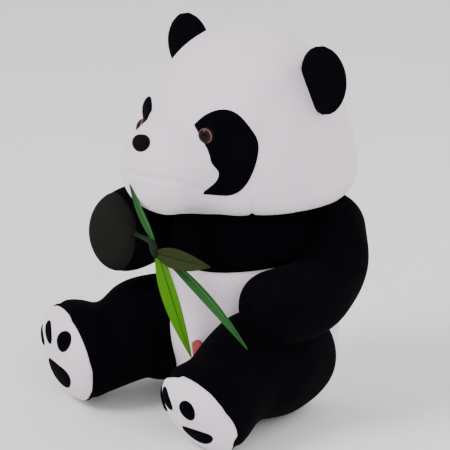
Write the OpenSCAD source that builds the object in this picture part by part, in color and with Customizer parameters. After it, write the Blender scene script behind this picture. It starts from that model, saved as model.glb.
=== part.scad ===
// Seated plush panda with a sewn sprig of bamboo.
// Millimetres. +Z is up, the panda faces -Y and its own left side is +X.
// The origin is the middle of the seat, on the surface that the toy rests on.

/* [Head] */
// Radius of the head at its widest
head_r = 83; // [78:1:86]
// Height of the head's flat underside
head_base_z = 166; // [165.8:0.1:168]
// Height of the widest ring of the head
head_mid_z = 188; // [184:1:192]
// Height of the crown
head_top_z = 300; // [290:1:306]
// Radius of the flat underside of the head
head_base_r = 60; // [56:1:64]

/* [Muzzle] */
// Radius of the muzzle
muzzle_r = 36; // [32:1:38]
// How far in front of the neck's axis the nose end of the muzzle is
muzzle_tip = 116; // [112:1:118]
// Height of the muzzle's middle
muzzle_z = 209; // [207:1:212]

/* [Torso] */
// Radius of the torso at the belly
torso_r = 71; // [69:1:73]
// Radius of the flat seat under the torso
seat_r = 46; // [40:1:50]
// Height of the widest ring of the torso
torso_mid_z = 72; // [68:1:76]
// Height where the black chest cloth meets the white belly cloth
band_z = 114; // [108:1:120]

/* [Limbs] */
// Radius of the thigh
thigh_r = 40; // [36:1:40]
// Radius of the foot
foot_r = 40; // [37:1:40]
// Radius of the shoulder and upper arm
arm_r = 25; // [22:0.5:25.5]
// Radius of the raised paw
paw_r = 31; // [26:1:31]

/* [Ears] */
// Radius of an ear
ear_r = 27; // [24:1:28]
// Half of the thickness of an ear
ear_half = 8; // [6:1:9]

/* [Eyes and nose] */
// Radius of a safety eye
eye_r = 6; // [5:0.5:7]
// Distance of an eye from the middle of the face
eye_x = 28; // [26:1:32]
// Height of the eyes
eye_z = 228; // [224:1:231]

/* [Cloth] */
// Thickness of the velvet plush with its backing
cloth_t = 1.8; // [1.4:0.1:2.2]
// Thickness of the sewn-on patches and pads
patch_t = 1.2; // [0.8:0.1:1.6]

/* [Hidden] */
$fn = 96;

// Points in each quarter curve of a profile, and of a limb's profile
steps = 10;
bar_steps = 5;
// Clearance between pieces of the same body
fit = 0.2;
// Clearance between bodies that move past each other
gap = 0.8;
// Height of the neck seam, just under the head
neck_z = head_base_z - 0.4;
// Radius of the neck opening in the head and in the chest
neck_r = 46;
// Shoulder pivots
shoulder = [62, 4, 138];
raised_shoulder = [-62, 4, 138];
// Middle of the elbow and of the lowered paw of the left arm
elbow = [82, 8, 115];
rest_paw = [75, -44, 115];
// Middle of the raised paw of the right arm
raised_paw = [-72, -84, 136];
// Middles of the left thigh and the left foot, and the pivot of the hip
thigh = [48, -14, 46];
foot = [72, -106, 40.6];
hip = [50, -10, 50];
// How far the end of the foot is domed beyond its middle, and the angle up that dome to its seam
sole_dome = 20;
sole_seam = 8;
// Angles to each side that the limbs swing
leg_swing = 10;
arm_lift = 15;
arm_out = 12;
ear_flex = 10;
// Middle of the left ear and its pivot on the head
ear_mid = [70, 5, 268];
ear_pivot = [56, 5, 258];
// Width and height of an eye patch and how far it leans
patch_w = 41;
patch_h = 65;
patch_lean = 12;
// Where the line through the patch's middle leaves the neck's axis, and how far it is turned out
patch_x = 12;
patch_turn = 22;
// Where the leaves of the bamboo meet
sprig = [6, -101, 149];
leaf_t = 1.2;
// Distance from there to the root of each leaf
leaf_root = 3.5;

white = [0.87, 0.82, 0.87];
black = [0.03, 0.03, 0.035];

// ---- profiles -------------------------------------------------------------

// A quarter of an ellipse from angle a0 to a1 about the point mid
function arc(mid, rx, rz, a0, a1, n = steps) =
    [for (i = [0:n])
        let (a = a0 + (a1 - a0) * i / n)
        [mid[0] + rx * cos(a), mid[1] + rz * sin(a)]];

// Outline of the head, drawn in by d
function head_profile(d = 0) =
    concat([[0, head_base_z + d]],
           arc([head_base_r - d, head_mid_z], head_r - head_base_r,
               head_mid_z - head_base_z - d, -90, 0),
           arc([0, head_mid_z], head_r - d, head_top_z - head_mid_z - d, 9, 90));

// Height of the ellipse that rounds the torso above its widest ring
torso_rise = 120;

// Outline of the torso, drawn in by d, from the seat up to the height top
function torso_profile(d = 0, top = neck_z) =
    let (end = asin((top - torso_mid_z) / (torso_rise - d)))
    concat([[0, d]],
           arc([seat_r - d, torso_mid_z], torso_r - seat_r, torso_mid_z - d, -90, 0),
           arc([0, torso_mid_z], torso_r - d, torso_rise - d, 6, end),
           [[0, top]]);

// Outline of a rounded bar of length len, with radius r0 at its start and r1 at its end,
// drawn in by d; dome is the depth of its rounded end, of which the angle end is drawn
function bar_profile(len, r0, r1, dome, d = 0, end = 90) =
    let (lean = asin((r0 - r1) / len))
    concat(arc([0, 0], r0 - d, r0 - d, -90, lean, bar_steps),
           arc([0, len], r1 - d, dome - d, dome < r1 ? 0 : lean, end, bar_steps));

function reversed(list) = [for (i = [len(list) - 1:-1:0]) list[i]];

module revolve(points) {
    rotate_extrude() polygon(points);
}

// Turns a profile into cloth: the space between the outline and the same outline drawn in
module revolve_cloth(outer, inner) {
    revolve(concat(outer, reversed(inner)));
}

// Turns and moves its children so that their Z axis runs from a to b
module along(a, b) {
    v = b - a;
    translate(a)
        rotate([0, acos(v[2] / norm(v)), atan2(v[1], v[0])])
            children();
}

// Rounded bar from a to b, drawn in by d
module bar(a, b, r0, r1, dome, d = 0) {
    along(a, b) revolve(bar_profile(norm(b - a), r0, r1, dome, d));
}

// The cloth round such a bar
module bar_cloth(a, b, r0, r1, dome, end = 90) {
    along(a, b)
        revolve_cloth(bar_profile(norm(b - a), r0, r1, dome, 0, end),
                      bar_profile(norm(b - a), r0, r1, dome, cloth_t, end));
}

// Turns its children by an angle about an axis through a point
module about(point, axis, angle) {
    translate(point) rotate(a = angle, v = axis) translate(-point) children();
}

// ---- whole outlines of the stuffed parts ----------------------------------

module head_solid(d = 0) {
    revolve(head_profile(d));
}

module torso_solid(d = 0, top = neck_z) {
    revolve(torso_profile(d, top));
}

module muzzle_solid() {
    depth = 60;
    translate([0, depth - muzzle_tip, muzzle_z])
        rotate([90, 0, 0])
            revolve(concat([[0, -10]], [[muzzle_r, -10]], arc([0, 0], muzzle_r, depth, 0, 90)));
}

// Left thigh and leg; the right one is its mirror
module leg_solid(d = 0) {
    bar(thigh, foot, thigh_r, foot_r, sole_dome, d);
}

// The left arm, bent at the elbow
module upper_arm_solid(d = 0) {
    bar(shoulder, elbow, arm_r, arm_r - 1, arm_r - 1, d);
}

module forearm_solid(d = 0) {
    bar(elbow + [-2, -4, 0], rest_paw, arm_r - 2, arm_r, arm_r - 3, d);
}

module arm_right_solid(d = 0) {
    bar(raised_shoulder, raised_paw, arm_r, paw_r, paw_r, d);
}

// Room that its child, the torso's outline, needs beside a limb at each end of the limb's swing
module torso_room(point, axis, swing) {
    for (a = [0, -swing])
        about(point, axis, a) children();
}

// ---- head -----------------------------------------------------------------

module face_pose(x, z) {
    translate([x, 0, z]) rotate([90, 0, 0]) children();
}

// Prism with an oval section that runs forward through the face
module oval_prism(w, h, len = 140) {
    linear_extrude(len) polygon([for (a = [0:12:348]) [w / 2 * cos(a), h / 2 * sin(a)]]);
}

module head_cover() {
    color(white)
        difference() {
            head_solid();
            head_solid(cloth_t);
            translate([0, 0, head_base_z - 1]) cylinder(r = neck_r, h = cloth_t + 2);
            for (side = [-1, 1])
                eye_place(side) translate([0, 0, -30]) cylinder(r = stem_r + 0.1, h = 60);
        }
}

module head_stuffing() {
    color("ivory")
        difference() {
            head_solid(cloth_t + fit);
            for (side = [-1, 1])
                eye_place(side)
                    translate([0, 0, -stem_len - 1]) cylinder(r = washer_r + 0.5, h = 40);
        }
}

module muzzle() {
    color(white)
        difference() {
            muzzle_solid();
            head_solid(-fit);
            nose_place() translate([0, 0, -nose_stem - 2]) cylinder(r = washer_r + 0.5, h = 7);
            nose_place() translate([0, 0, -nose_stem]) cylinder(r = stem_r + 0.1, h = 40);
            for (side = [-1, 1])
                eye_place(side) translate([0, 0, -20]) cylinder(r = eye_r + fit, h = 50);
        }
}

// Safety eyes and nose: a domed face on a ribbed stem, held by a washer behind the cloth
stem_r = 2;
stem_len = 10;
washer_r = 7;
nose_stem = 9;
// Depth of the domes
eye_dome = 3.4;
nose_dome = 4;
// Angle by which the eyes look outward, and upward
eye_out = 24;
eye_up = 24;

// Radius of the head at the height z above its widest ring
function head_radius(z) =
    head_r * sqrt(1 - pow((z - head_mid_z) / (head_top_z - head_mid_z), 2));

eye_y = -sqrt(pow(head_radius(eye_z), 2) - pow(eye_x, 2));

module eye_place(side) {
    translate([side * eye_x, eye_y, eye_z])
        rotate([90 - eye_up, 0, side * eye_out])
            translate([0, 0, patch_t + fit])
                children();
}

module nose_place() {
    translate([0, 1 - muzzle_tip, muzzle_z + 16]) rotate([78, 0, 0]) children();
}

module eye(side) {
    color("saddlebrown")
        eye_place(side) {
            revolve(concat([[0, 1]], arc([0, 1], eye_r, eye_dome, 0, 90)));
            translate([0, 0, -stem_len]) cylinder(r = stem_r, h = stem_len + 1);
        }
}

module eye_washer(side) {
    color("white")
        eye_place(side)
            translate([0, 0, -stem_len + 1.5])
                difference() {
                    cylinder(r = washer_r, h = 1.2);
                    translate([0, 0, -1]) cylinder(r = stem_r + 0.05, h = 4);
                }
}

module eye_patch(side) {
    color(black)
        difference() {
            intersection() {
                head_solid(-patch_t - fit / 2);
                translate([side * patch_x, 0, eye_z - 11])
                    rotate([90, side * patch_lean, side * patch_turn])
                        oval_prism(patch_w, patch_h);
            }
            head_solid(-fit / 2);
            muzzle_room();
            eye_place(side) translate([0, 0, -30]) cylinder(r = stem_r + 0.1, h = 60);
        }
}

// The muzzle with a little room around it
module muzzle_room() {
    translate([0, 10, muzzle_z])
        rotate([90, 0, 0])
            cylinder(r = muzzle_r + 0.5, h = muzzle_tip);
}

module nose() {
    color(black)
        nose_place() {
            translate([0, 0, 1.6])
                revolve(concat([[0, 0]], arc([0, 0], 8.5, nose_dome, 0, 90)));
            translate([0, 0, -nose_stem + 1]) cylinder(r = stem_r, h = nose_stem + 2);
        }
}

module nose_washer() {
    color("white")
        nose_place()
            translate([0, 0, 2.4 - nose_stem])
                difference() {
                    cylinder(r = washer_r, h = 1.2);
                    translate([0, 0, -1]) cylinder(r = stem_r + 0.05, h = 4);
                }
}

module ear(side) {
    color(black)
        mirror([side < 0 ? 1 : 0, 0, 0])
            difference() {
                translate(ear_mid)
                    rotate([90, 0, 0])
                        revolve(arc([0, 0], ear_r, ear_half, -90, 90, 2 * steps));
                for (a = [-ear_flex, 0, ear_flex])
                    about(ear_pivot, [-10, 0, 14], a) head_solid(-gap);
            }
}

// ---- torso ----------------------------------------------------------------

module torso_shell() {
    difference() {
        torso_solid();
        torso_solid(cloth_t, neck_z + 1);
    }
}

module chest_cover() {
    color(black)
        intersection() {
            torso_shell();
            translate([0, 0, band_z]) cylinder(r = 2 * torso_r, h = neck_z);
        }
}

module belly_cover() {
    color(white)
        intersection() {
            torso_shell();
            translate([0, 0, -1]) cylinder(r = 2 * torso_r, h = band_z + 1 - fit / 2);
        }
}

module body_stuffing() {
    color("ivory") torso_solid(cloth_t + fit, neck_z - fit);
}

// Radius of the torso at the height z below its widest ring
function torso_radius(z) =
    seat_r + (torso_r - seat_r) * sqrt(1 - pow((torso_mid_z - z) / torso_mid_z, 2));

// Small blank cloth tab that lies on the belly between the legs, leaning out with it
module care_tab() {
    tab_w = 9;
    tab_z = 50;
    tab_turn = 11;
    lean = 5;
    color("firebrick")
        rotate([0, 0, tab_turn])
            translate([0, -torso_radius(tab_z) - fit, tab_z])
                rotate([90 + lean, 0, 0])
                    linear_extrude(1.2) {
                        translate([-tab_w / 2, 0]) square([tab_w, 7]);
                        translate([0, 7]) circle(r = tab_w / 2);
                    }
}

// ---- arms -----------------------------------------------------------------

// Cone that just encloses the upper torso, touching it at the height z
module shoulder_cone(z = 125) {
    u = (z - torso_mid_z) / torso_rise;
    r = torso_r * sqrt(1 - u * u) + gap;
    slope = torso_r * u / torso_rise / sqrt(1 - u * u);
    below = 65;
    above = 75;
    translate([0, 0, z - below])
        cylinder(r1 = r + slope * below, r2 = r - slope * above, h = below + above);
}

module arm_left_room() {
    torso_room(shoulder, [-1, 0, 0], arm_lift) shoulder_cone();
}

module arm_right_room() {
    torso_room(raised_shoulder, [0, 0, -1], arm_out) shoulder_cone();
}

module arm_cover_left() {
    color(black)
        difference() {
            union() {
                upper_arm_solid();
                forearm_solid();
            }
            upper_arm_solid(cloth_t);
            forearm_solid(cloth_t);
            arm_left_room();
        }
}

module arm_stuffing_left() {
    color("ivory")
        difference() {
            union() {
                upper_arm_solid(cloth_t + fit);
                forearm_solid(cloth_t + fit);
            }
            arm_left_room();
        }
}

module arm_cover_right() {
    color(black)
        difference() {
            bar_cloth(raised_shoulder, raised_paw, arm_r, paw_r, paw_r);
            arm_right_room();
        }
}

module arm_stuffing_right() {
    color("ivory")
        difference() {
            arm_right_solid(cloth_t + fit);
            arm_right_room();
        }
}

// Charcoal palm of the raised paw
module paw_pad_right() {
    color([0.11, 0.11, 0.11])
        difference() {
            intersection() {
                arm_right_solid(-patch_t - fit / 2);
                translate([raised_paw[0] - 4, raised_paw[1], raised_paw[2]])
                    rotate([90, 0, -18])
                        oval_prism(40, 50, 60);
            }
            arm_right_solid(-fit / 2);
        }
}

// ---- legs -----------------------------------------------------------------

module on_side(side) {
    mirror([side < 0 ? 1 : 0, 0, 0]) children();
}

module leg_room() {
    torso_room(hip, [0, 0, 1], leg_swing)
        translate([0, 0, -torso_r]) cylinder(r = torso_r + gap, h = 3 * torso_r);
}

module leg_cover(side) {
    color(black)
        on_side(side)
            difference() {
                bar_cloth(thigh, foot, thigh_r, foot_r, sole_dome, sole_seam);
                leg_room();
            }
}

module leg_stuffing(side) {
    color("ivory")
        on_side(side)
            difference() {
                leg_solid(cloth_t + 4 * fit);
                leg_room();
            }
}

// White cap that closes the foot beyond the seam
module sole(side) {
    seam = sole_seam + 1;
    color(white)
        on_side(side)
            along(foot, foot + (foot - thigh))
                revolve_cloth(arc([0, 0], foot_r, sole_dome, seam, 90, bar_steps),
                              arc([0, 0], foot_r - cloth_t, sole_dome - cloth_t, seam, 90,
                                  bar_steps));
}

// Prism through the sole, in the sole's own plane: u points outward and v upward
module sole_prism(u, v, w, h, lean) {
    along(foot, foot + (foot - thigh))
        rotate([0, 0, 90])
            translate([u, v, 0])
                rotate([0, 0, lean])
                    oval_prism(w, h, 60);
}

// The part of a thin layer over the sole that its children cover
module pads(side) {
    lift = fit / 2;
    color(black)
        on_side(side)
            intersection() {
                along(foot, foot + (foot - thigh))
                    revolve_cloth(
                        arc([0, 0], foot_r + lift + patch_t, sole_dome + lift + patch_t,
                            sole_seam + 1, 90, bar_steps),
                        arc([0, 0], foot_r + lift, sole_dome + lift, sole_seam + 1, 90,
                            bar_steps));
                union() children();
            }
}

module toe_pads(side) {
    pads(side) {
        sole_prism(-19, 11, 11, 15, 30);
        sole_prism(0, 21, 11, 16, 0);
        sole_prism(19, 11, 11, 15, -30);
    }
}

module heel_pad(side) {
    pads(side) sole_prism(0, -14, 28, 19, 0);
}

// ---- bamboo ---------------------------------------------------------------

// Leaf outline along +X from the point where it is sewn on
module leaf_shape(len, w) {
    linear_extrude(leaf_t)
        polygon(concat([for (i = [0:12]) [len * i / 12, w / 2 * sin(180 * pow(i / 12, 0.8))]],
                       [for (i = [11:-1:1]) [len * i / 12, -w / 2 * sin(180 * pow(i / 12, 0.8))]]));
}

// A leaf whose flat face looks forward; turn is its angle up from +X seen from the front
module leaf(len, w, turn, out, lift) {
    translate(sprig)
        rotate([0, 0, out])
            rotate([90, -turn, 0])
                translate([leaf_root, 0, lift])
                    leaf_shape(len, w);
}

module leaf_long() {
    color("yellowgreen") leaf(88, 19, -75, 0, 0);
}

module leaf_folded() {
    color("seagreen") leaf(92, 9, -36, 8, 1.4);
}

module leaf_side() {
    color("darkolivegreen") leaf(54, 15, -6, 4, 2.8);
}

module leaf_top() {
    color("green") leaf(46, 8, 124, 0, 0);
}

// The stem ends against the raised paw
module bamboo_stem() {
    paw_side = [-43.5, -98, 144];
    color("darkgreen") {
        translate(sprig) sphere(r = 3.2);
        along(paw_side, sprig) cylinder(r = 1.8, h = norm(sprig - paw_side) - 1);
    }
}

head_cover();
head_stuffing();
muzzle();
nose();
nose_washer();
ear(1);  // ear_left
ear(-1);  // ear_right
eye_patch(1);  // eye_patch_left
eye_patch(-1);  // eye_patch_right
eye(1);  // eye_left
eye(-1);  // eye_right
eye_washer(1);  // eye_washer_left
eye_washer(-1);  // eye_washer_right
chest_cover();
belly_cover();
body_stuffing();
care_tab();
arm_cover_left();
arm_stuffing_left();
arm_cover_right();
arm_stuffing_right();
paw_pad_right();
leg_cover(1);  // leg_cover_left
leg_stuffing(1);  // leg_stuffing_left
sole(1);  // sole_left
toe_pads(1);  // toe_pads_left
heel_pad(1);  // heel_pad_left
leg_cover(-1);  // leg_cover_right
leg_stuffing(-1);  // leg_stuffing_right
sole(-1);  // sole_right
toe_pads(-1);  // toe_pads_right
heel_pad(-1);  // heel_pad_right
bamboo_stem();
leaf_long();
leaf_folded();
leaf_side();
leaf_top();
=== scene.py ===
import math

import bpy
import numpy as np
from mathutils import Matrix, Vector
from mathutils.bvhtree import BVHTree


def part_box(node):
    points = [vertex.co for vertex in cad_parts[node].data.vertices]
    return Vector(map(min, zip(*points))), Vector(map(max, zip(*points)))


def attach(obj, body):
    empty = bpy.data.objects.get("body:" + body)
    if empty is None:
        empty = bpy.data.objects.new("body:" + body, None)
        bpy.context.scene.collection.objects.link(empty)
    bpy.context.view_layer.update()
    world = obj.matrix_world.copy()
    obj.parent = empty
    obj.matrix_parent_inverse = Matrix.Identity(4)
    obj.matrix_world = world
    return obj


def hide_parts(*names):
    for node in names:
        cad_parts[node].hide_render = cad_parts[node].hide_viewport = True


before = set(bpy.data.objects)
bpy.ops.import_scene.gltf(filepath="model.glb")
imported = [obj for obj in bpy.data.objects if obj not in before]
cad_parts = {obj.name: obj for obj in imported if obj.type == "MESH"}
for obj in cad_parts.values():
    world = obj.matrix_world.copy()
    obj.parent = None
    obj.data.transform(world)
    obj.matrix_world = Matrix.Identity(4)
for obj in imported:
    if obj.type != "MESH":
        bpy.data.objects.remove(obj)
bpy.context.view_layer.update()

MM = 0.001
TAU = 2 * math.pi

# ---------------------------------------------------------------- sizes from the frame


def low(node):
    return np.array(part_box(node)[0])


def high(node):
    return np.array(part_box(node)[1])


HEAD_R = high("head_cover")[0]
HEAD_BASE = low("head_cover")[2]
HEAD_TOP = high("head_cover")[2]
HEAD_MID = HEAD_BASE + 0.022
BAND_Z = low("chest_cover")[2]
NECK_Z = high("chest_cover")[2]

SIDES = ((1, "left"), (-1, "right"))

# ---------------------------------------------------------------- meshes


def link(name, mesh):
    piece = bpy.data.objects.new(name, mesh)
    bpy.context.scene.collection.objects.link(piece)
    return piece


def mesh_piece(name, points, faces, uv=None):
    """A mesh from an array of points and an array or list of faces, shaded smooth.
    uv holds one pair of numbers per point and becomes the piece's UV map."""
    mesh = bpy.data.meshes.new(name)
    mesh.from_pydata(np.asarray(points).tolist(), [], faces)
    mesh.polygons.foreach_set("use_smooth", np.ones(len(mesh.polygons), bool))
    if uv is not None:
        corner = np.empty(len(mesh.loops), np.int32)
        mesh.loops.foreach_get("vertex_index", corner)
        layer = mesh.uv_layers.new(name="UVMap")
        layer.data.foreach_set("uv", np.asarray(uv, float)[corner].ravel())
    mesh.validate()
    mesh.update()
    return link(name, mesh)


def grid_faces(rows, columns, closed_rows=False, closed_columns=True):
    """Four-cornered faces of a grid whose point (i, j) has the number i * columns + j."""
    i = np.arange(rows if closed_rows else rows - 1)
    j = np.arange(columns if closed_columns else columns - 1)
    i, j = np.meshgrid(i, j, indexing="ij")
    ii, jj = (i + 1) % rows, (j + 1) % columns
    quads = np.stack([i * columns + j, i * columns + jj, ii * columns + jj, ii * columns + j], -1)
    return quads.reshape(-1, 4).tolist()


def closed_tube(name, rings, uv=None):
    """A closed skin over rings[i, j], i along the piece and j round it. Each end is closed by a fan
    to the mean of its last ring. Rings run so that the faces point outwards."""
    rows, columns = rings.shape[:2]
    points = rings.reshape(-1, 3)
    ends = np.stack([rings[0].mean(0), rings[-1].mean(0)])
    faces = grid_faces(rows, columns)
    j = np.arange(columns)
    nxt = (j + 1) % columns
    first = np.stack([nxt, j, np.full(columns, rows * columns)], -1).tolist()
    start = (rows - 1) * columns
    last = np.stack([start + j, start + nxt, np.full(columns, rows * columns + 1)], -1).tolist()
    if uv is not None:
        flat = uv.reshape(-1, 2)
        uv = np.concatenate([flat, [uv[0].mean(0)], [uv[-1].mean(0)]])
    return mesh_piece(name, np.concatenate([points, ends]), faces + first + last, uv)


def coords(piece):
    out = np.empty(len(piece.data.vertices) * 3)
    piece.data.vertices.foreach_get("co", out)
    return out.reshape(-1, 3)


def normals(piece):
    out = np.empty(len(piece.data.vertices) * 3)
    piece.data.vertices.foreach_get("normal", out)
    return out.reshape(-1, 3)


def move_points(piece, points):
    piece.data.vertices.foreach_set("co", np.asarray(points, np.float32).ravel())
    piece.data.update()


def apply_all(piece):
    """Replaces the piece's mesh with what its modifiers make of it."""
    graph = bpy.context.evaluated_depsgraph_get()
    made = bpy.data.meshes.new_from_object(piece.evaluated_get(graph))
    old = piece.data
    piece.modifiers.clear()
    piece.data = made
    bpy.data.meshes.remove(old)
    made.name = piece.name
    made.polygons.foreach_set("use_smooth", np.ones(len(made.polygons), bool))
    made.update()


def stations(table, count):
    """Smooth values through the rows of a table: a Catmull-Rom curve, which passes through each row
    with the slope of the line between its two neighbours."""
    table = np.asarray(table, float)
    padded = np.concatenate([2 * table[:1] - table[1:2], table, 2 * table[-1:] - table[-2:-1]])
    t = np.linspace(0, len(table) - 1, count)
    k = np.minimum(t.astype(int), len(table) - 2)
    f = (t - k)[:, None]
    a, b, c, d = padded[k], padded[k + 1], padded[k + 2], padded[k + 3]
    return 0.5 * (2 * b + (c - a) * f + (2 * a - 5 * b + 4 * c - d) * f**2
                  + (3 * b - a - 3 * c + d) * f**3)


def limb_rings(table, rows, columns):
    """Rings of a stuffed limb. Each row of the table is x, y, z, half width and half height in mm:
    ring = middle + half width * cos(a) * side + half height * sin(a) * upward."""
    line = stations(table, rows) * MM
    middle, wide, tall = line[:, :3], line[:, 3], line[:, 4]
    along = np.gradient(middle, axis=0)
    along /= np.linalg.norm(along, axis=1)[:, None]
    side = np.cross(along, (0.0, 0.0, 1.0))
    side /= np.linalg.norm(side, axis=1)[:, None]
    above = np.cross(side, along)
    a = np.linspace(0, TAU, columns, endpoint=False)
    return (middle[:, None] + (wide[:, None] * np.cos(a))[..., None] * side[:, None]
            + (tall[:, None] * np.sin(a))[..., None] * above[:, None])


def revolved_rings(profile, rows, columns):
    """Rings about the Z axis through a table of radius and height in mm, from the bottom up."""
    line = stations(profile, rows) * MM
    a = np.linspace(0, TAU, columns, endpoint=False)
    r, z = line[:, 0], line[:, 1]
    return np.stack([r[:, None] * np.cos(a), r[:, None] * np.sin(a),
                     np.broadcast_to(z[:, None], (rows, columns))], -1)


def ellipsoid_rings(middle, radii, rows, columns, power=1.0):
    """Rings of an ellipsoid, bottom to top; a power under 1 makes its sides fuller."""
    pole_gap = 0.06
    e = np.linspace(-math.pi / 2 + pole_gap, math.pi / 2 - pole_gap, rows)
    a = np.linspace(0, TAU, columns, endpoint=False)
    flat = np.cos(e)[:, None] ** power
    return np.stack([middle[0] + radii[0] * flat * np.cos(a),
                     middle[1] + radii[1] * flat * np.sin(a),
                     middle[2] + radii[2] * np.sin(e)[:, None] * np.ones(columns)], -1)


# ---------------------------------------------------------------- stuffing


PRESSURE = 4.0
CLOTH_FRAMES = 20


def stuffed(name, parts, voxel, cap, rounds):
    """Joins closed shapes into one skin and blows it up like a stuffed cover: a voxel remesh, a
    little smoothing, frames of cloth under pressure with no point moved further than cap, then one
    subdivision."""
    bpy.ops.object.select_all(action="DESELECT")
    for part in parts:
        part.select_set(True)
    bpy.context.view_layer.objects.active = parts[0]
    if len(parts) > 1:
        bpy.ops.object.join()
    piece = bpy.context.view_layer.objects.active
    piece.name = name
    remesh = piece.modifiers.new("Skin", "REMESH")
    remesh.mode = "VOXEL"
    remesh.voxel_size = voxel
    remesh.use_smooth_shade = True
    smooth = piece.modifiers.new("Even", "SMOOTH")
    smooth.factor = 0.5
    smooth.iterations = rounds
    apply_all(piece)
    before = coords(piece)
    cloth = piece.modifiers.new("Cloth", "CLOTH")
    cloth.settings.quality = 5
    cloth.settings.use_pressure = True
    cloth.settings.uniform_pressure_force = PRESSURE
    cloth.settings.tension_stiffness = 15
    cloth.settings.compression_stiffness = 15
    cloth.settings.shear_stiffness = 5
    cloth.settings.bending_stiffness = 0.5
    cloth.settings.effector_weights.gravity = 0
    cloth.point_cache.frame_start = 1
    cloth.point_cache.frame_end = CLOTH_FRAMES
    scene = bpy.context.scene
    for number in range(1, CLOTH_FRAMES + 1):
        scene.frame_set(number)
    apply_all(piece)
    scene.frame_set(1)
    step = coords(piece) - before
    size = np.maximum(np.linalg.norm(step, axis=1), 1e-9)
    move_points(piece, before + step * (np.minimum(size, cap) / size)[:, None])
    finer = piece.modifiers.new("Finer", "SUBSURF")
    finer.levels = finer.render_levels = 1
    apply_all(piece)
    return piece


def uneven(points, seed, size=0.045):
    """Slow unevenness of hand stuffing between -1 and 1: the mean of six sine waves of fixed random
    directions, each about size long."""
    rng = np.random.default_rng(seed)
    waves = rng.normal(size=(6, 3))
    waves *= (TAU / size * rng.uniform(0.6, 1.4, 6) / np.linalg.norm(waves, axis=1))[:, None]
    return np.sin(points @ waves.T + rng.uniform(0, TAU, 6)).mean(1)


def finish_skin(piece, seed, lumps=0.0012, channels=(), floor=True):
    """Moves each point along its normal by lumps * unevenness and by the channels' depths, where a
    channel is (distance from the seam at each point, half width, depth): depth * exp(-(d/w)^2).
    With floor, nothing is left below the floor."""
    points = coords(piece)
    out = lumps * uneven(points, seed)
    for distance, width, depth in channels:
        out = out - depth * np.exp(-(distance(points) / width) ** 2)
    points = points + normals(piece) * out[:, None]
    if floor:
        points[:, 2] = np.maximum(points[:, 2], 0.0)
    move_points(piece, points)


# ---------------------------------------------------------------- materials


class Num:
    """A number that varies over a surface. Arithmetic on it adds Math nodes."""

    def __init__(self, paint, socket):
        self.paint, self.socket = paint, socket

    def math(self, operation, *others):
        return Num(self.paint, self.paint.node("ShaderNodeMath", {"operation": operation},
                                               [self, *others]).outputs[0])

    def __add__(self, other):
        return self.math("ADD", other)

    def __sub__(self, other):
        return self.math("SUBTRACT", other)

    def __mul__(self, other):
        return self.math("MULTIPLY", other)

    def __rsub__(self, other):
        return self.math("MULTIPLY_ADD", -1.0, other)

    __radd__ = __add__
    __rmul__ = __mul__

    def step(self, start, end):
        """0 below start, 1 above end, smooth between."""
        made = self.paint.node("ShaderNodeMapRange", {"interpolation_type": "SMOOTHSTEP"},
                               {"Value": self, "From Min": start, "From Max": end})
        return Num(self.paint, made.outputs[0])


class Paint:
    """One material: its nodes are made by node(), and its surface by surface()."""

    def __init__(self, name):
        self.material = bpy.data.materials.new(name)
        self.material.use_nodes = True
        self.tree = self.material.node_tree
        self.shader = self.tree.nodes["Principled BSDF"]
        self.place = self.node("ShaderNodeTexCoord").outputs["Object"]
        self.uv = self.node("ShaderNodeTexCoord").outputs["UV"]

    def node(self, kind, settings=None, inputs=None):
        made = self.tree.nodes.new(kind)
        for key, value in (settings or {}).items():
            setattr(made, key, value)
        pairs = inputs.items() if isinstance(inputs, dict) else enumerate(inputs or [])
        for key, value in pairs:
            socket = made.inputs[key]
            if isinstance(value, Num):
                value = value.socket
            if isinstance(value, bpy.types.NodeSocket):
                self.tree.links.new(value, socket)
            else:
                socket.default_value = value
        return made

    def noise(self, scale, detail=2.0, where=None, roughness=0.5):
        made = self.node("ShaderNodeTexNoise", None,
                         {"Vector": where or self.place, "Scale": scale, "Detail": detail,
                          "Roughness": roughness})
        return Num(self, made.outputs[0])

    def stretched(self, scale):
        """Object coordinates scaled by three factors."""
        return self.node("ShaderNodeMapping", None,
                         {"Vector": self.place, "Scale": scale}).outputs[0]

    def axis(self, name, where=None):
        split = self.node("ShaderNodeSeparateXYZ", None, {"Vector": where or self.place})
        return Num(self, split.outputs[name])

    def mix(self, factor, first, second):
        made = self.node("ShaderNodeMix", {"data_type": "RGBA"})
        for key, value in ((0, factor), (6, first), (7, second)):
            socket = made.inputs[key]
            if isinstance(value, Num):
                value = value.socket
            if isinstance(value, bpy.types.NodeSocket):
                self.tree.links.new(value, socket)
            elif key:
                socket.default_value = (*value, 1.0)
            else:
                socket.default_value = value
        return made.outputs[2]

    def surface(self, colour, roughness, bump=None, depth=0.0005, **constants):
        """Base colour and roughness may vary; a bump is a height between 0 and 1 times depth in
        metres; every other socket is a constant."""
        values = {"Base Color": colour, "Roughness": roughness}
        for key, value in values.items():
            socket = self.shader.inputs[key]
            if isinstance(value, Num):
                value = value.socket
            if isinstance(value, bpy.types.NodeSocket):
                self.tree.links.new(value, socket)
            else:
                socket.default_value = (*value, 1.0) if key == "Base Color" else value
        for key, value in constants.items():
            self.shader.inputs[key.replace("_", " ")].default_value = value
        if bump is not None:
            made = self.node("ShaderNodeBump", None, {"Height": bump, "Distance": depth})
            self.tree.links.new(made.outputs[0], self.shader.inputs["Normal"])
        return self.material


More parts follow.
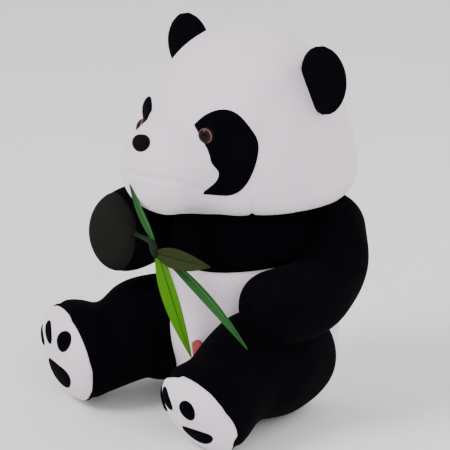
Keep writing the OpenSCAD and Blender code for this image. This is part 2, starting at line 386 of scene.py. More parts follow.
def plush(name, colour, shade, sheen, nap=0.0006, gloss=0.12):
    """Short velvet pile: a fine grain that leans downwards, brushed patches a few centimetres wide
    that catch the light differently, and a soft sheen at grazing angles."""
    paint = Paint(name)
    grain = paint.noise(900.0, 3.0, paint.stretched((1.0, 1.0, 0.45)), 0.7)
    tufts = paint.noise(260.0, 2.0)
    brushed = paint.noise(28.0, 3.0)
    tone = (brushed * 0.55 + tufts * 0.25 + grain * 0.2).step(0.35, 0.65)
    height = grain * 0.6 + tufts * 0.3 + brushed * 0.1
    return paint.surface(paint.mix(tone, shade, colour), tone * 0.08 + 0.86, height, nap,
                         Sheen_Weight=sheen, Sheen_Roughness=0.45, Sheen_Tint=(1, 1, 1, 1),
                         Specular_IOR_Level=gloss)


def leaf_cloth(name, colour, dark, vein):
    """Printed satin leaf: fine veins beside a dark midrib, along the leaf's own UV map."""
    paint = Paint(name)
    u, v = paint.axis("X", paint.uv), paint.axis("Y", paint.uv)
    off = (v - 0.5).math("ABSOLUTE")
    rib = 1 - off.step(0.015, 0.06)
    veins = (v * 90.0 + u * 4.0).math("SINE") * 0.5 + 0.5
    tone = paint.noise(60.0, 2.0) * 0.6 + veins * 0.4
    green = paint.mix(tone, dark, colour)
    return paint.surface(paint.mix(rib * 0.85, green, vein), tone * 0.15 + 0.42,
                         veins * 0.4 - rib * 0.6, 0.0003, Specular_IOR_Level=0.04)


def moulded(name, colour, roughness, gloss=0.4):
    """Moulded plastic with a faint unevenness of gloss."""
    paint = Paint(name)
    tone = paint.noise(120.0, 2.0)
    darker = tuple(c * 0.8 for c in colour)
    return paint.surface(paint.mix(tone, darker, colour), tone * 0.08 + roughness,
                         paint.noise(400.0), 0.00005, Specular_IOR_Level=gloss)


WHITE = plush("white velvet plush", (0.80, 0.70, 0.78), (0.76, 0.66, 0.74), 0.12)
BLACK = plush("black velvet plush", (0.0022, 0.0020, 0.0034), (0.0012, 0.0010, 0.0018), 0.004,
              gloss=0.015)
CHARCOAL = plush("charcoal palm plush", (0.013, 0.013, 0.012), (0.011, 0.011, 0.010), 0.004,
                 gloss=0.015)
NOSE_BLACK = plush("black flocked nose", (0.005, 0.0035, 0.0045), (0.003, 0.002, 0.003), 0.01,
                   0.0003, gloss=0.05)
WASHER = moulded("white washer plastic", (0.75, 0.75, 0.73), 0.4)
STEM = moulded("dark stem wire cover", (0.006, 0.016, 0.006), 0.5, gloss=0.08)
BRIGHT_LEAF = leaf_cloth("bright leaf satin", (0.070, 0.235, 0.006), (0.045, 0.17, 0.004),
                         (0.012, 0.06, 0.004))
DEEP_LEAF = leaf_cloth("deep leaf satin", (0.032, 0.125, 0.032), (0.015, 0.075, 0.018),
                       (0.19, 0.30, 0.16))
OLIVE_LEAF = leaf_cloth("olive leaf back", (0.030, 0.042, 0.012), (0.018, 0.026, 0.007),
                        (0.012, 0.018, 0.005))


def eye_material():
    """A dark brown safety eye: from its middle outwards a pupil that is nearly black, a brown iris, a
    thin paler ring and a dark edge. The radius is the first coordinate of its UV map."""
    paint = Paint("brown safety eye")
    r = paint.axis("X", paint.uv)
    iris = paint.mix(paint.noise(18.0, 2.0, paint.uv), (0.010, 0.003, 0.003), (0.024, 0.007, 0.006))
    with_pupil = paint.mix(r.step(0.40, 0.55), (0.004, 0.002, 0.002), iris)
    ring = r.step(0.78, 0.85) * (1 - r.step(0.90, 0.96))
    return paint.surface(paint.mix(ring, with_pupil, (0.13, 0.065, 0.060)), 0.2,
                         Specular_IOR_Level=0.05, Coat_Weight=0.12, Coat_Roughness=0.03)


EYE = eye_material()


def tab_material():
    """Plain red woven tab with a fine weave."""
    paint = Paint("red tab weave")
    threads = 4000.0
    x = paint.axis("X") * threads
    z = paint.axis("Z") * threads
    weave = x.math("SINE") * z.math("SINE") * 0.5 + 0.5
    return paint.surface(paint.mix(weave, (0.30, 0.035, 0.035), (0.42, 0.07, 0.06)), 0.7,
                         weave, 0.0002)


RED = tab_material()


def dress(piece, material, body, replaces=()):
    """Gives a piece its material and body, and hides the nodes that it stands for."""
    piece.data.materials.clear()
    piece.data.materials.append(material)
    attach(piece, body)
    if replaces:
        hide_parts(*replaces)


# ---------------------------------------------------------------- head


def dome_profile():
    """Radius and height in mm: a flat underside, a tight rim, then a quarter of an ellipse that is
    a little fuller than a true one."""
    r, base, mid, top = HEAD_R / MM - 1, HEAD_BASE / MM - 3, HEAD_MID / MM, HEAD_TOP / MM + 1
    rim = [(0.5, base), (r * 0.35, base), (r * 0.70, base + 0.5), (r * 0.89, base + 4),
           (r * 0.97, base + 12), (r * 0.997, mid - 1)]
    a = np.radians(np.linspace(8, 89.5, 12))
    crown = np.stack([r * np.cos(a) ** 0.93, mid + (top - mid) * np.sin(a)], -1)
    return np.concatenate([rim, crown])


# Muzzle from inside the head to its tip: y, height of its middle, half width and half height in mm
MUZZLE = np.array([
    (-8, 210, 53, 42), (-45, 209, 51, 42), (-66, 208, 46, 41), (-82, 207, 40, 39),
    (-95, 205, 36.5, 36.5), (-105, 203.5, 33, 33), (-112, 203, 27.5, 28), (-117, 203, 20, 21),
    (-120, 203.5, 9, 9), (-120.6, 203.5, 1, 1)])
SQUARING = 2.4
BRIDGE = 0.42


def muzzle_rings():
    """Rings of the muzzle, each a circle squared off a little, |x/w|^n + |z/h|^n = 1 where n is
    SQUARING, and drawn in above its middle by 1 - BRIDGE (z/h)^2, which makes the bridge between the
    eyes narrow."""
    rows, columns = 44, 64
    line = stations(MUZZLE, rows) * MM
    a = np.linspace(0, TAU, columns, endpoint=False)
    x = np.sign(np.cos(a)) * np.abs(np.cos(a)) ** (2 / SQUARING)
    z = np.sign(np.sin(a)) * np.abs(np.sin(a)) ** (2 / SQUARING)
    x = x * (1 - BRIDGE * np.maximum(z, 0) ** 2)
    return np.stack([line[:, 2:3] * x, np.broadcast_to(line[:, :1], (rows, columns)),
                     line[:, 1:2] + line[:, 3:4] * z], -1)[:, ::-1]


def head_parts():
    """The dome, whose crown leans forward, the muzzle that runs back into it, a soft chin and a brow."""
    crown_lean, lean_height = 0.007, 0.075
    rings = revolved_rings(dome_profile(), 60, 96)
    rings[..., 1] -= crown_lean * np.clip((rings[..., 2] - HEAD_MID) / lean_height, 0, 1)
    dome = closed_tube("dome", rings)
    muzzle = closed_tube("muzzle_form", muzzle_rings())
    chin = closed_tube("chin_form", ellipsoid_rings(
        (0, -0.046, 0.187), (0.044, 0.064, 0.022), 20, 48, 0.8))
    brow = closed_tube("brow_form", ellipsoid_rings(
        (0, -0.031, 0.234), (0.066, 0.056, 0.038), 24, 64))
    return [dome, muzzle, chin, brow]


def mouth_seam(points):
    """Distance to the mouth's seam, a slanting plane across the muzzle, only in front of the cheeks."""
    height, front, cheeks = 0.2025, -0.110, -0.082
    droop = 0.12 * np.maximum(front - points[:, 1], 0) + 0.45 * np.maximum(points[:, 1] - front, 0)
    away = np.maximum(points[:, 1] - cheeks, 0) * 3
    return np.hypot(points[:, 2] - (height - droop), away)


def cheek_dart(points):
    """Distance to the darts that shape the cheeks, upward from the rim at 47 degrees to each side."""
    turn, length, gap = math.radians(47), 0.016, 0.02
    side = np.abs(points[:, 0])
    across = side * math.cos(turn) + points[:, 1] * math.sin(turn)
    above = np.maximum(points[:, 2] - (HEAD_BASE + length), 0) * 2
    between = np.where(side < gap, 1.0, 0.0)
    return np.sqrt(across**2 + above**2 + between**2)


head = stuffed("head_plush", head_parts(), voxel=0.004, cap=0.003, rounds=8)
finish_skin(head, 3, 0.0010, [(mouth_seam, 0.0016, 0.0016), (cheek_dart, 0.0014, 0.0016)],
            floor=False)
dress(head, WHITE, "head", ("head_cover", "head_stuffing", "muzzle"))

head_tree = BVHTree.FromObject(head, bpy.context.evaluated_depsgraph_get())


def on_head(x, z, side=1):
    """Where a line from straight ahead meets the head at x and z in mm, and the normal there."""
    found = head_tree.ray_cast(Vector((side * x * MM, -0.3, z * MM)), Vector((0, 1, 0)))
    return np.array(found[0]), np.array(found[1])


# An eye patch is an upright oval, cut away where the muzzle's oval seam crosses it. In mm, across
# and up the face. PATCH_FILL is a point inside the patch. The right patch and its eye are sewn
# lower and nearer to the middle than the left ones.
PATCH_MIDDLE = np.array([41.0, 217.5])
PATCH_HALF = np.array([21.5, 33.5])
PATCH_FILL = np.array([52.0, 205.0])
RIGHT_PATCH_MOVE = np.array([-5.0, -4.0])
SEAM_MIDDLE = np.array([0.0, 207.0])
SEAM_HALF = np.array([42.0, 31.0])


def sewn_move(side):
    """How far the patch and the eye of a side are sewn from the left ones' place, in mm."""
    return RIGHT_PATCH_MOVE if side < 0 else np.zeros(2)


def oval_crossings(start, way, middle, half):
    """The two distances t, nearer first, at which a line meets an oval: the roots of
    |(start + t * way - middle) / half| = 1. They are nan where the line misses it."""
    start, way = (start - middle) / half, way / half
    aa, bb, cc = (way**2).sum(1), way @ start, start @ start - 1
    inner = bb**2 - aa * cc
    root = np.sqrt(np.where(inner >= 0, inner, np.nan))
    return (-bb - root) / aa, (-bb + root) / aa


def patch_outline(side, count=120):
    """Outline of an eye patch: from a point inside it, a line in each direction ends at the oval or
    at the muzzle's seam, whichever it meets first."""
    a = np.linspace(TAU, 0, count, endpoint=False)
    way = np.stack([np.cos(a), np.sin(a)], -1)
    to_oval = oval_crossings(PATCH_FILL, way, PATCH_MIDDLE + sewn_move(side), PATCH_HALF)[1]
    to_seam = oval_crossings(PATCH_FILL, way, SEAM_MIDDLE, SEAM_HALF)[0]
    reach = np.minimum(to_oval, np.where(to_seam > 0, to_seam, np.inf))
    return PATCH_FILL + way * reach[:, None]


def patch(name, side):
    """Sewn-on eye patch. Its outline is carried in to a point inside it along straight lines; a cloth
    skin lies on the head, thick in the middle and thin at the edge."""
    ahead, thickness, sunk = 200.0, 0.0016, 0.0012
    s = np.concatenate([np.linspace(0.02, 0.94, 22), [0.97, 0.99, 1.0]])
    flat = PATCH_FILL + (patch_outline(side) - PATCH_FILL)[None] * s[:, None, None]
    rows, columns = flat.shape[:2]
    start = np.stack([side * flat[..., 0], np.full((rows, columns), -ahead), flat[..., 1]], -1) * MM
    hits = [head_tree.ray_cast(Vector(p), Vector((0, 1, 0))) for p in start.reshape(-1, 3)]
    place = np.array([h[0] for h in hits]).reshape(rows, columns, 3)
    normal = np.array([h[1] for h in hits]).reshape(rows, columns, 3)
    lift = thickness * np.sqrt(np.clip(1 - s**8, 0, 1))[:, None, None]
    top = place + normal * (lift + 0.0001)
    under = place[::-1] - normal[::-1] * sunk
    rings = np.concatenate([top, under])
    if side > 0:
        rings = rings[:, ::-1]
    return closed_tube(name, rings)


for side, word in SIDES:
    piece = patch(f"eye_patch_plush_{word}", side)
    dress(piece, BLACK, "head", (f"eye_patch_{word}",))


def dome_on(name, place, normal, radius, depth, squeeze=1.0, *, skirt):
    """A round dome of the given radius and depth that sits on a surface: ring radius is
    radius * cos(t) and height depth * sin(t). squeeze flattens it upward, and skirt is how far it
    goes down into the surface. Its UV map's first coordinate is the relative radius."""
    normal = normal / np.linalg.norm(normal)
    across = np.cross((0, 0, 1), normal)
    across /= np.linalg.norm(across)
    upward = np.cross(normal, across)
    t = np.concatenate([[0, 0], np.linspace(0, math.pi / 2 - 0.02, 20)])
    r = np.cos(t)
    h = depth * np.sin(t)
    h[0] = -skirt
    a = np.linspace(0, TAU, 64, endpoint=False)
    rings = (place + (radius * r[:, None] * np.cos(a))[..., None] * across
             + (radius * squeeze * r[:, None] * np.sin(a))[..., None] * upward
             + (h[:, None] * np.ones(64))[..., None] * normal)
    uv = np.stack([r[:, None] * np.ones(64), np.ones((len(t), 1)) * a / TAU], -1)
    return closed_tube(name, rings, uv)


EYE_OUTWARD, EYE_UPWARD = 5, 3
EYE_X = (low("eye_left")[0] + high("eye_left")[0]) / 2 / MM + EYE_OUTWARD
EYE_Z = (low("eye_left")[2] + high("eye_left")[2]) / 2 / MM + EYE_UPWARD
EYE_R, RIM_R = 0.0063, 0.0072
for side, word in SIDES:
    across, upward = (EYE_X, EYE_Z) + sewn_move(side)
    place, normal = on_head(across, upward, side)
    facing = normal + np.array([side * -0.10, -0.55, -0.10])
    facing /= np.linalg.norm(facing)
    piece = dome_on(f"safety_eye_{word}", place + facing * 0.0006, facing, EYE_R, 0.0042, skirt=0.004)
    dress(piece, EYE, "head", (f"eye_{word}",))
    rim = dome_on(f"eye_rim_{word}", place + facing * 0.0004, facing, RIM_R, 0.0014, skirt=0.003)
    dress(rim, NOSE_BLACK, "head")

place, normal = on_head(0, (low("nose")[2] + high("nose")[2]) / 2 / MM)
piece = dome_on("nose_flocked", place, np.array([0, -1, 0.30]), 0.0090, 0.0040, 0.74, skirt=0.006)
dress(piece, NOSE_BLACK, "head", ("nose",))

# ---------------------------------------------------------------- ears


def ear(name, side):
    """A flat stuffed ear: a disc that is thick in its middle and thin at its sewn edge, cupped
    forward. half thickness = t * (1 - s^2)^0.55 at the relative radius s."""
    box_low, box_high = low(f"ear_{name}"), high(f"ear_{name}")
    radius = 0.0275
    outer = np.array([box_high[0] if side > 0 else -box_low[0], 0, box_high[2]])
    middle = np.array([outer[0] - radius + 0.0065, (box_low[1] + box_high[1]) / 2,
                       outer[2] - radius + 0.001])
    s = np.concatenate([np.linspace(0.02, 0.9, 14), np.linspace(0.93, 1.0, 5)])
    a = np.linspace(0, TAU, 64, endpoint=False)
    thick = 0.0085 * np.clip(1 - s**2, 0, 1) ** 0.55
    rings = []
    for sign in (-1, 1):
        cup = 0.004 * s**2
        ring = np.stack([middle[0] + 0.88 * radius * s[:, None] * np.cos(a),
                         (middle[1] + sign * thick - cup)[:, None] * np.ones(64),
                         middle[2] + radius * 0.98 * s[:, None] * np.sin(a)], -1)
        rings.append(ring if sign < 0 else ring[::-1])
    rings = np.concatenate(rings)
    rings[..., 0] *= side
    return closed_tube(f"ear_form_{name}", rings if side > 0 else rings[:, ::-1])


for side, word in SIDES:
    piece = stuffed(f"ear_plush_{word}", [ear(word, side)], voxel=0.0022, cap=0.0015, rounds=3)
    finish_skin(piece, 11 + side, 0.0006, floor=False)
    dress(piece, BLACK, f"{word}_ear", (f"ear_{word}",))

# ---------------------------------------------------------------- torso


def torso_profile():
    """Radius and height in mm of the belly and chest, from the seat up to inside the head."""
    return np.array([(0.5, -1), (22, -1), (40, 0), (52, 6), (61, 18), (66, 34), (68.5, 52),
                     (69, 72), (68.5, 92), (67, 112), (64, 132), (59, 148), (50, 161), (34, 168),
                     (16, 171), (0.5, 172)])


def torso_parts():
    """The egg of the torso, and the belly's fullness in front."""
    egg = closed_tube("egg", revolved_rings(torso_profile(), 64, 96))
    belly = closed_tube("belly_form", ellipsoid_rings(
        (0, -0.022, 0.062), (0.054, 0.051, 0.054), 24, 48))
    return [egg, belly]


body = stuffed("belly_plush", torso_parts(), voxel=0.005, cap=0.004, rounds=6)


def band_edge(points):
    """Height of the chest band's lower edge: it rises slightly towards the sides."""
    turn = np.arctan2(points[:, 0], -points[:, 1])
    return BAND_Z + 0.002 + 0.008 * np.sin(np.clip(turn, -1.6, 1.6)) ** 2


finish_skin(body, 7, 0.0012, [(lambda p: p[:, 2] - band_edge(p), 0.004, 0.0022)])
dress(body, WHITE, "torso", ("belly_cover", "body_stuffing"))

body_tree = BVHTree.FromObject(body, bpy.context.evaluated_depsgraph_get())


def chest_skin():
    """Black cloth round the chest: lines from the torso's axis find the stuffed surface, and the cloth
    lies on it, turned in at the band's edge and again under the head."""
    columns = 160
    a = np.linspace(0, TAU, columns, endpoint=False)
    edge = band_edge(np.stack([np.cos(a), np.sin(a), 0 * a], -1) * 0.07)
    v = np.linspace(0, 1, 40)
    z = edge[None] + v[:, None] * (NECK_Z - 0.003 - edge[None])
    starts = np.stack([0.0 * z, 0.0 * z, z], -1).reshape(-1, 3)
    ways = np.stack([np.cos(a) + 0 * z, np.sin(a) + 0 * z, 0 * z], -1).reshape(-1, 3)
    far = [body_tree.ray_cast(Vector(p), Vector(w)) for p, w in zip(starts, ways)]
    reach = np.array([f[3] if f[0] is not None else 0.03 for f in far]).reshape(z.shape)
    lift = 0.0022 * np.clip(1 - (1 - np.clip(v / 0.10, 0, 1)) ** 2, 0, 1) ** 0.5
    r = reach + lift[:, None]
    outside = np.stack([r * np.cos(a), r * np.sin(a), z], -1)
    r_in = reach - 0.0015
    inside = np.stack([r_in * np.cos(a), r_in * np.sin(a), z + 0.0004], -1)[::-1]
    rings = np.concatenate([outside, inside])
    faces = grid_faces(len(rings), columns, closed_rows=True)
    return mesh_piece("chest_plush", rings.reshape(-1, 3), faces)


chest = chest_skin()
dress(chest, BLACK, "torso", ("chest_cover",))

# ---------------------------------------------------------------- limbs


def mirrored(rings, side):
    """The same rings for the right side, turned so that the faces still point outwards."""
    return rings if side > 0 else (rings * (-1, 1, 1))[:, ::-1]


# Legs from the hip to the end of the sole, as rows of limb_rings. The right leg is given as its
# mirror image. The row SEAM is the seam between leg and sole.
LEFT_LEG = np.array([
    (27, 28, 44, 3, 3), (31, 20, 44, 27, 28), (38, 4, 44, 41, 42), (46, -18, 45, 43, 45),
    (55, -44, 48, 41, 44), (60, -66, 47, 37, 41), (65, -86, 41, 35, 36), (69, -100, 37, 36, 36),
    (70.5, -108, 34.5, 37.5, 37.5), (70, -115.5, 31.5, 38, 38), (69.6, -120, 29, 36.5, 36.5),
    (69.2, -124.5, 26.5, 30.5, 30.5), (68.9, -128, 24.5, 22, 22), (68.7, -130, 23.3, 3, 3)])
RIGHT_LEG = np.array([
    (28, 30, 45, 3, 3), (34, 24, 45, 26, 28), (41, 8, 45, 40, 42), (47, -18, 47, 42, 44),
    (52, -44, 51, 40, 44), (56, -64, 53, 37, 43), (61, -82, 47, 35, 37), (66, -97, 42, 36, 34.5),
    (71, -109, 42, 40, 40), (75, -118, 42, 41.5, 41.5), (76.7, -123, 41, 39.5, 39.5),
    (78.4, -129, 40, 33, 33), (79.9, -134, 39, 22, 22), (80.8, -136.5, 38.6, 3, 3)])
LEGS = {1: LEFT_LEG, -1: RIGHT_LEG}
SOLE_WAYS = {1: (-0.08, -0.865, -0.50), -1: (-0.288, -0.942, -0.17)}
SOLE_R = {1: 0.0362, -1: 0.0388}
SEAM = 9
SOLE_AHEAD = 0.05


def leg_form(side):
    return closed_tube("leg_form", mirrored(limb_rings(LEGS[side], 60, 56), side))


def sole_frame(side):
    """The foot's middle at the seam, the way the sole faces, and its outward and upward directions."""
    way = np.array(SOLE_WAYS[side])
    way = way / np.linalg.norm(way)
    outward = np.cross(way, (0, 0, 1))
    outward *= side * np.sign(outward[0]) / np.linalg.norm(outward)
    upward = np.cross(outward, way)
    upward *= np.sign(upward[2]) / np.linalg.norm(upward)
    return LEGS[side][SEAM, :3] * MM * (side, 1, 1), way, outward, upward


def along_leg(points, side):
    """How far beyond the sole's seam a point is, along the way the sole faces."""
    middle, way = sole_frame(side)[:2]
    return (points - middle) @ way


def on_surface(tree, starts, way, reach):
    """Where lines from each start, along one direction, meet a surface, and the normals there. A line
    that finds nothing within 1.2 times reach takes the point of the surface nearest to its end."""
    way = Vector(way)
    hits = []
    for p in starts.reshape(-1, 3):
        hit = tree.ray_cast(Vector(p), way, reach * 1.2)
        hits.append(hit if hit[0] is not None else tree.find_nearest(Vector(p) + way * reach))
    place = np.array([h[0] for h in hits])
    normal = np.array([h[1] for h in hits])
    return place.reshape(starts.shape), normal.reshape(starts.shape)


def sole_skin(name, side, tree):
    """White cloth over the end of the foot: a polar grid on a plane ahead of the foot is carried
    back onto it; the cloth is raised a little and its edge turns in at the seam."""
    middle, way, outward, upward = sole_frame(side)
    s = np.concatenate([np.linspace(0.02, 0.9, 20), [0.94, 0.97, 0.99, 1.0]])
    a = np.linspace(0, TAU, 96, endpoint=False)
    flat = (SOLE_R[side] * s[:, None, None] * (np.cos(a)[None, :, None] * outward
                                               + np.sin(a)[None, :, None] * upward))
    place, normal = on_surface(tree, middle + way * SOLE_AHEAD + flat, -way, SOLE_AHEAD)
    lift = 0.0016 * np.sqrt(np.clip(1 - s**10, 0, 1))[:, None, None]
    top = place + normal * lift
    top[..., 2] = np.maximum(top[..., 2], 0.0)
    rings = np.concatenate([top, (place - normal * 0.0015)[::-1]])
    return closed_tube(name, rings if side < 0 else rings[:, ::-1])


def pad(name, side, tree, u, v, w, h, lean, bean=0.0):
    """An oval pad sewn on the sole at u outward and v upward, w wide and h tall in mm; bean bends
    it into a kidney shape. Its edge is rounded over."""
    middle, way, outward, upward = sole_frame(side)
    s = np.concatenate([np.linspace(0.03, 0.85, 8), [0.92, 0.97, 1.0]])
    a = np.linspace(0, TAU, 48, endpoint=False)
    x = w / 2 * s[:, None] * np.cos(a)
    y = h / 2 * s[:, None] * np.sin(a) + bean * (x / (w / 2)) ** 2
    turn = math.radians(lean)
    x, y = x * math.cos(turn) - y * math.sin(turn) + u, x * math.sin(turn) + y * math.cos(turn) + v
    flat = (x[..., None] * outward + y[..., None] * upward) * MM
    place, normal = on_surface(tree, middle + way * SOLE_AHEAD + flat, -way, SOLE_AHEAD)
    lift = 0.0016 + 0.0013 * np.sqrt(np.clip(1 - s**4, 0, 1))[:, None, None]
    top = place + normal * lift
    top[..., 2] = np.maximum(top[..., 2], 0.0)
    rings = np.concatenate([top, (place + normal * 0.0003)[::-1]])
    return closed_tube(name, rings if side < 0 else rings[:, ::-1])


def joined(name, pieces):
    """Several closed meshes as one object."""
    bpy.ops.object.select_all(action="DESELECT")
    for each in pieces:
        each.select_set(True)
    bpy.context.view_layer.objects.active = pieces[0]
    bpy.ops.object.join()
    pieces[0].name = name
    return pieces[0]


# Pads of each foot as u, v, w, h, lean and, for a heel, bean, as pad() takes them
TOES = {1: ((-27, 11, 12, 16, 35), (-13, 20, 13, 17, 12), (11, 18, 15, 16, -10)),
        -1: ((-19, 19, 14, 16, 20), (4, 20, 13, 18, -6), (24, 11, 12, 16, -30))}
HEELS = {1: (9, -7, 32, 15, 0, 2.5), -1: (-3, -13, 38, 22, 0, 4.0)}
for side, word in SIDES:
    leg = stuffed(f"leg_plush_{word}", [leg_form(side)], voxel=0.0042, cap=0.003, rounds=5)
    finish_skin(leg, 21 + side, 0.0012, [(lambda p, s=side: along_leg(p, s), 0.003, 0.0016)])
    dress(leg, BLACK, f"{word}_leg",
          (f"leg_cover_{word}", f"leg_stuffing_{word}"))
    tree = BVHTree.FromObject(leg, bpy.context.evaluated_depsgraph_get())
    sole = sole_skin(f"sole_plush_{word}", side, tree)
    dress(sole, WHITE, f"{word}_leg", (f"sole_{word}",))
    toes = joined(f"toe_pad_cloth_{word}",
                  [pad(f"toe_{n}", side, tree, *toe) for n, toe in enumerate(TOES[side])])
    dress(toes, BLACK, f"{word}_leg", (f"toe_pads_{word}",))
    heel = pad(f"heel_pad_cloth_{word}", side, tree, *HEELS[side])
    dress(heel, BLACK, f"{word}_leg", (f"heel_pad_{word}",))

# Arms from the shoulder to the end of the paw, as rows of limb_rings
LEFT_ARM = np.array([
    (46, 16, 156, 4, 4), (50, 21, 154, 20, 19), (57, 27, 147, 27, 26), (65, 25, 135, 27, 29),
    (70, 20, 122, 27, 29.5), (73.5, 9, 109, 27, 30), (76, -8, 101, 27.5, 31),
    (76.5, -25, 98.5, 28, 31.5), (76, -42, 98.5, 28, 30), (74, -57, 99, 26, 27),
    (72, -68, 99, 19, 19), (71, -73, 99, 3, 3)])
RIGHT_ARM = np.array([
    (-44, 14, 156, 4, 4), (-49, 20, 154, 20, 19), (-56, 24, 147, 27, 26), (-61, 6, 140, 28, 29),
    (-66, -14, 138, 28, 31), (-66, -36, 137, 28, 32), (-64, -56, 136, 28.5, 33),
    (-62, -74, 136, 28.5, 34), (-61, -88, 136, 26, 31), (-60.5, -98, 136, 19, 23),
    (-60, -103, 136, 3, 4)])

arm = stuffed("arm_plush_left", [closed_tube("arm_form", limb_rings(LEFT_ARM, 60, 48))],
              voxel=0.004, cap=0.003, rounds=5)
finish_skin(arm, 31, 0.0012, floor=False)
dress(arm, BLACK, "left_arm", ("arm_cover_left", "arm_stuffing_left"))

arm = stuffed("arm_plush_right", [closed_tube("arm_form", limb_rings(RIGHT_ARM, 60, 48))],
              voxel=0.004, cap=0.003, rounds=5)
finish_skin(arm, 33, 0.0012, floor=False)
dress(arm, BLACK, "right_arm", ("arm_cover_right", "arm_stuffing_right"))
arm_tree = BVHTree.FromObject(arm, bpy.context.evaluated_depsgraph_get())


def palm_skin():
    """Charcoal palm on the front of the raised paw, an upright oval."""
    ahead, half_width, half_height = 0.07, 0.0265, 0.031
    way = np.array([0.22, 0.975, 0.0])
    middle = np.array([-0.063, -0.088, 0.136]) - way * ahead
    outward = np.cross(way, (0, 0, 1))
    s = np.concatenate([np.linspace(0.02, 0.9, 16), [0.95, 0.98, 1.0]])
    a = np.linspace(0, TAU, 80, endpoint=False)
    flat = s[:, None, None] * (half_width * np.cos(a)[None, :, None] * outward
                               + half_height * np.sin(a)[None, :, None] * np.array([0, 0, 1.0]))
    place, normal = on_surface(arm_tree, middle + flat, way, ahead)
    lift = 0.0014 * np.sqrt(np.clip(1 - s**10, 0, 1))[:, None, None]
    rings = np.concatenate([place + normal * lift, (place - normal * 0.0012)[::-1]])
    return closed_tube("palm_plush_right", rings)


dress(palm_skin(), CHARCOAL, "right_arm", ("paw_pad_right",))

# ---------------------------------------------------------------- bamboo


def leaf(name, material, node, root, tip, width, sag, fold, twist=0.0):
    """A bamboo leaf between two points: half width = width / 2 * sin(pi * u^0.8)^0.9, folded along
    its midrib and bowed by sag in the middle; twist turns it about its length."""
    root, tip = np.array(root, float) * MM, np.array(tip, float) * MM
    length = np.linalg.norm(tip - root)
    way = (tip - root) / length
    out = np.array([0.0, -1.0, 0.0])
    out = out - way * (out @ way)
    out /= np.linalg.norm(out)
    across = np.cross(way, out)
    u = np.concatenate([[0.004], np.linspace(0.03, 0.97, 34), [0.996]])
    v = np.linspace(-1, 1, 13)
    half = width * MM / 2 * np.sin(math.pi * u**0.8) ** 0.9 + 0.0002
    turn = np.radians(twist) * u
    side = (across[None] * np.cos(turn)[:, None] + out[None] * np.sin(turn)[:, None])
    face_out = (out[None] * np.cos(turn)[:, None] - across[None] * np.sin(turn)[:, None])
    line = (root + way * (u * length)[:, None]
            + out * (sag * MM * np.sin(math.pi * u))[:, None])
    rise = fold * half[:, None] * (1 - np.abs(v)[None])
    points = (line[:, None] + (half[:, None] * v)[..., None] * side[:, None]
              - rise[..., None] * face_out[:, None])
    uv = np.stack([u[:, None] * np.ones(len(v)), np.ones((len(u), 1)) * (v + 1) / 2], -1)
    piece = mesh_piece(name, points.reshape(-1, 3), grid_faces(len(u), len(v), False, False),
                       uv.reshape(-1, 2))
    thick = piece.modifiers.new("Cloth", "SOLIDIFY")
    thick.thickness = 0.0007
    thick.offset = 0.0
    apply_all(piece)
    dress(piece, material, "right_arm", (node,))


leaf("bamboo_leaf_long", BRIGHT_LEAF, "leaf_long",
     (4, -103, 141), (29, -90, 57), 19, 2, 0.22)
leaf("bamboo_leaf_folded", DEEP_LEAF, "leaf_folded",
     (6, -104, 141), (92, -90, 80), 8.5, -4, 0.8, 25)
leaf("bamboo_leaf_side", OLIVE_LEAF, "leaf_side",
     (4, -105, 138), (61, -99, 139), 16, 2, 0.2)
leaf("bamboo_leaf_top", DEEP_LEAF, "leaf_top",
     (3, -104, 146), (-9, -118, 192), 8, 1, 0.5)

# Stem from inside the paw to the joint of the leaves, as rows of limb_rings
STEM_LINE = np.array([
    (-42, -84, 141, 1.7, 1.7), (-30, -94, 143, 1.8, 1.8), (-15, -100, 145, 1.8, 1.8),
    (-1, -104, 146, 2.4, 2.6), (3, -105, 143, 3.2, 3.4), (5, -105, 138, 2.8, 3.0),
    (6, -104, 134.5, 1.2, 1.2)])
stem = closed_tube("bamboo_stem_cover", limb_rings(STEM_LINE, 40, 20))
dress(stem, STEM, "right_arm", ("bamboo_stem",))

# ---------------------------------------------------------------- tab


def tab_form():
    """A small red tab: a strip with a rounded end, standing up from the seam against the belly."""
    half, straight = 4.5, 11
    a = np.linspace(0, math.pi, 17)
    arc = np.stack([half * np.cos(a), straight + half * np.sin(a)], -1)
    outline = np.concatenate([[(half, 0)], arc, [(-half, 0)]])
    middle = np.array([0, 7.0])
    s = np.linspace(0.02, 1, 8)
    flat = middle + (outline - middle)[None] * s[:, None, None]
    box_low, box_high = low("care_tab"), high("care_tab")
    x0, y0, z0 = (box_low[0] + box_high[0]) / 2 + 0.004, box_low[1] - 0.0015, box_low[2] - 0.001
    lean = math.radians(16)
    place = np.stack([x0 + flat[..., 0] * MM * math.cos(lean),
                      y0 + flat[..., 0] * MM * math.sin(lean) - 0.0015 * np.sin(flat[..., 1] / 6),
                      z0 + flat[..., 1] * MM], -1)
    back = place[::-1] + np.array([0, 0.0012, 0])
    return closed_tube("red_tab", np.concatenate([place, back]))


dress(tab_form(), RED, "torso", ("care_tab",))

for node in ("nose_washer", "eye_washer_left", "eye_washer_right"):
    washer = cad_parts[node]
    washer.data.materials.clear()
    washer.data.materials.append(WASHER)

# ---------------------------------------------------------------- stage


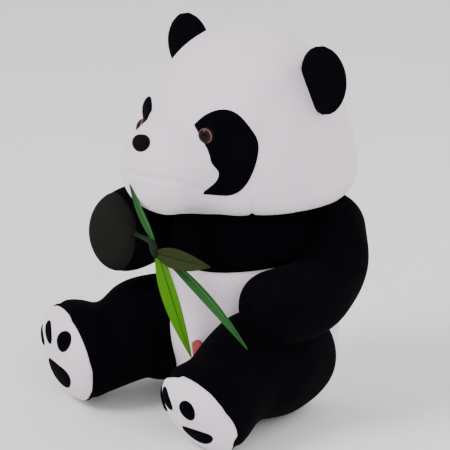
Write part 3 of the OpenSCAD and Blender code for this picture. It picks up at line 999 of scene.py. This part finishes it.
def floor():
    """A pale plain floor that curves up behind the toy."""
    size, bend_start, bend = 3.0, 1.6, 0.8
    a = np.linspace(0.1, math.pi / 2, 12)
    y = np.concatenate([np.linspace(-size, bend_start, 8), bend_start + bend * np.sin(a),
                        [bend_start + bend] * 2])
    z = np.concatenate([np.zeros(8), bend - bend * np.cos(a), [2.0, 4.0]])
    x = np.linspace(-size, size, 5)
    turn = math.radians(-48)
    px, py = x[None] + 0 * y[:, None], y[:, None] + 0 * x[None]
    points = np.stack([px * math.cos(turn) - py * math.sin(turn),
                       px * math.sin(turn) + py * math.cos(turn),
                       z[:, None] + 0 * x[None]], -1)
    piece = mesh_piece("studio_floor", points.reshape(-1, 3), grid_faces(len(y), len(x), False, False))
    paint = Paint("pale paper floor")
    tone = paint.mix(paint.noise(6.0, 2.0), (0.86, 0.86, 0.86), (0.90, 0.90, 0.90))
    piece.data.materials.append(paint.surface(tone, 0.9))


floor()


def area_light(name, place, target, size, power):
    data = bpy.data.lights.new(name, "AREA")
    data.shape = "DISK"
    data.size = size
    data.energy = power
    lamp = bpy.data.objects.new(name, data)
    bpy.context.scene.collection.objects.link(lamp)
    lamp.location = place
    lamp.rotation_euler = (Vector(target) - Vector(place)).to_track_quat("-Z", "Y").to_euler()


area_light("key light", (-0.6, -1.7, 1.9), (0, 0, 0.15), 1.2, 44)
area_light("side light", (2.0, -0.7, 1.2), (0, 0, 0.15), 1.4, 20)
area_light("back light", (0.6, 1.8, 1.6), (0, 0, 0.2), 1.2, 14)

world = bpy.data.worlds.new("soft studio")
bpy.context.scene.world = world
world.use_nodes = True
world.node_tree.nodes["Background"].inputs[0].default_value = (1, 1, 1, 1)
world.node_tree.nodes["Background"].inputs[1].default_value = 0.95

# The camera looks at a point LOOK_RIGHT and LOOK_UP of the origin as it sees it, and VIEW_WIDTH is
# the width that it sees there; all in metres
AZIMUTH, ELEVATION, DISTANCE = 47.8, 17.0, 2.277
LOOK_RIGHT, LOOK_UP = -0.021519, 0.1318238
VIEW_WIDTH, SENSOR_WIDTH = 0.35865, 36
a, e = math.radians(AZIMUTH), math.radians(ELEVATION)
back = Vector((math.sin(a) * math.cos(e), -math.cos(a) * math.cos(e), math.sin(e)))
right = Vector((math.cos(a), math.sin(a), 0))
up = back.cross(right)
target = right * LOOK_RIGHT + up * LOOK_UP
lens = bpy.data.cameras.new("camera")
lens.sensor_width = SENSOR_WIDTH
lens.lens = SENSOR_WIDTH * DISTANCE / VIEW_WIDTH
camera = bpy.data.objects.new("camera", lens)
bpy.context.scene.collection.objects.link(camera)
camera.location = target + back * DISTANCE
camera.rotation_euler = back.to_track_quat("Z", "Y").to_euler()
bpy.context.scene.camera = camera
